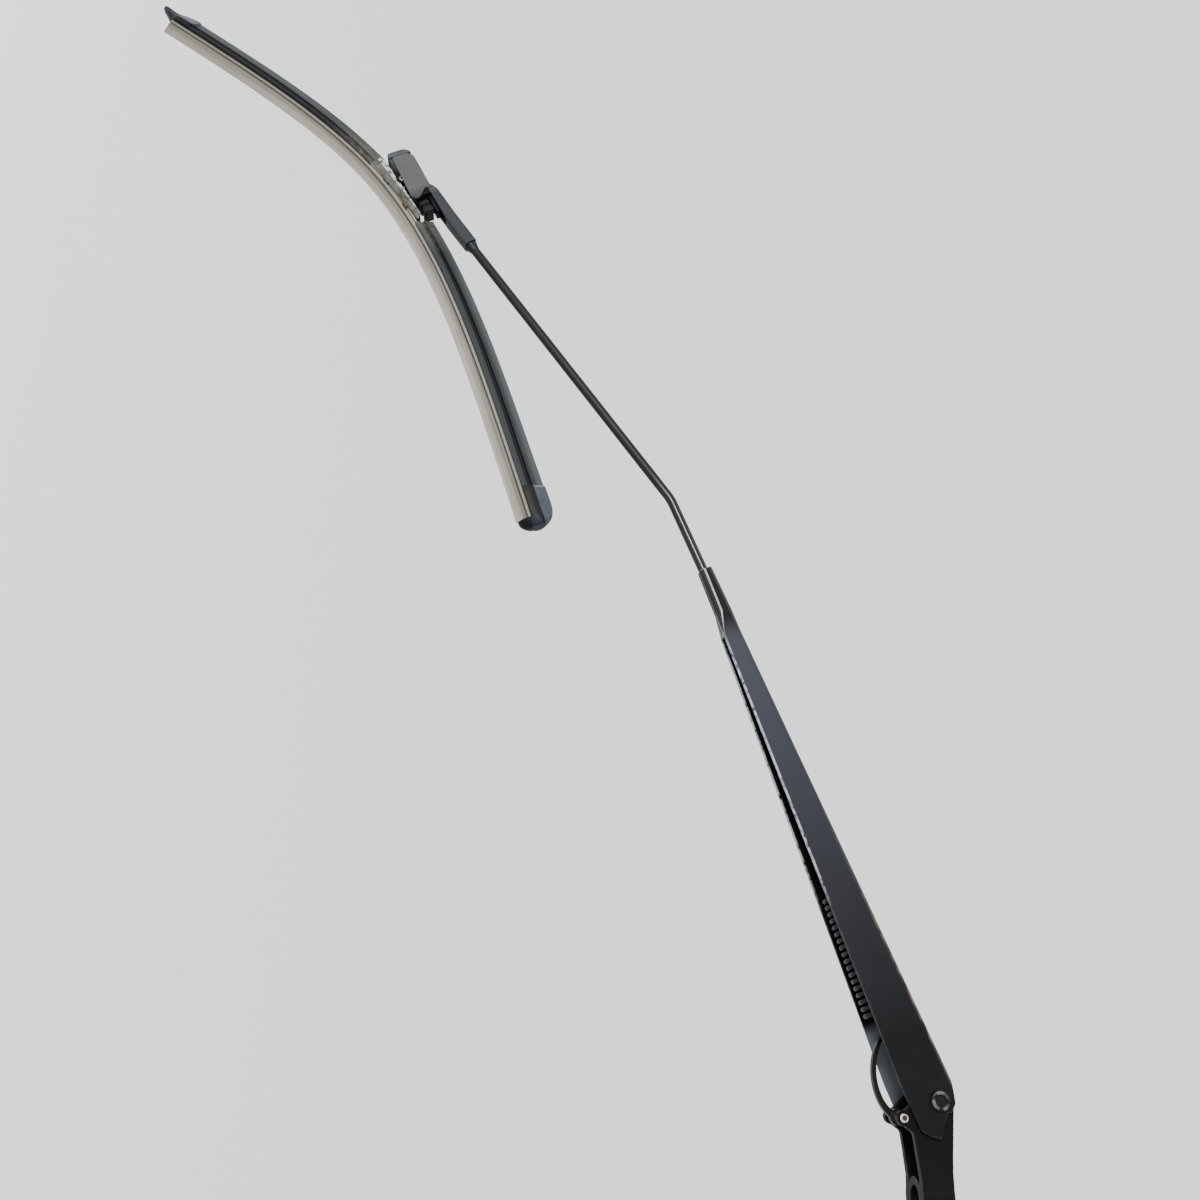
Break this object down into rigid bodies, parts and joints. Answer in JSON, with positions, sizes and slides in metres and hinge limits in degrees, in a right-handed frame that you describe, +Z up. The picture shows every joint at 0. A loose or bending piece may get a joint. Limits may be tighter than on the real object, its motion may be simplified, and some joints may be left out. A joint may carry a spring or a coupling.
{
  "type": "windscreen wiper arm with blade",
  "caption": "Sprung black wiper arm with a hook-type end, carrying a flat beam blade with rubber spoilers and end caps; shown free of the glass",
  "frame": {"origin": "on the spindle bore's axis, at the underside of the mounting head", "axes": "+Z runs up the spindle away from the glass, +X from the spindle towards the blade's outer tip, +Y to the side that the spoiler's hollow face looks to"},
  "size_m": [0.6835, 0.0291, 0.4877],
  "materials": {
    "black_paint": "satin",
    "bush_plastic": "satin",
    "plated_steel": "brushed",
    "dark_steel": "satin",
    "channel_paint": "satin",
    "spring_steel": "satin",
    "gloss_black": "gloss",
    "fitting_grey": "matte",
    "adapter_plastic": "matte",
    "tab_plastic": "matte",
    "weathered_casting": "matte",
    "rail_steel": "brushed",
    "dusty_rubber": "matte",
    "spoiler_rubber": "matte",
    "cap_plastic": "satin"
  },
  "bodies": {
    "head": {"mounting_head": "black_paint", "pivot_bush_near": "bush_plastic", "pivot_bush_far": "bush_plastic", "hook_pin": "plated_steel"},
    "arm": {"arm_channel": "channel_paint", "pivot_rivet": "dark_steel", "arm_rod": "gloss_black", "tension_spring": "spring_steel", "arm_end_fitting": "fitting_grey", "adapter_body": "adapter_plastic"},
    "hook": {"spring_hook": "dark_steel"},
    "tab": {"release_tab": "tab_plastic"},
    "blade": {"connector_base": "weathered_casting", "connector_pin": "plated_steel", "rail_near": "rail_steel", "rail_far": "rail_steel", "rubber_element": "dusty_rubber", "spoiler_outer": "spoiler_rubber", "spoiler_inner": "spoiler_rubber", "end_cap_outer": "cap_plastic", "end_cap_inner": "cap_plastic"}
  },
  "joints": [
    {"name": "arm_pivot", "type": "hinge", "parent": "head", "child": "arm", "pos_m": [0.042, 0, 0.0095], "axis": [0, -1, 0], "range_deg": [0, 78], "deforming": ["tension_spring"]},
    {"name": "spring_hook_pivot", "type": "hinge", "parent": "head", "child": "hook", "pos_m": [0.0337, 0, -0.0069], "axis": [0, -1, 0], "range_deg": [0, 73]},
    {"name": "blade_pivot", "type": "hinge", "parent": "arm", "child": "blade", "pos_m": [0.54988, 0, -0.30163], "axis": [0, -1, 0], "range_deg": [-5, 7]},
    {"name": "release_slide", "type": "slide", "parent": "arm", "child": "tab", "axis": [0.5105, 0, 0.8599], "range_m": [0, 0.0015], "stiffness_N_per_m": 400}
  ],
  "couplings": [
    {"joint": "spring_hook_pivot", "follows": "arm_pivot", "ratio": 0.931}
  ]
}
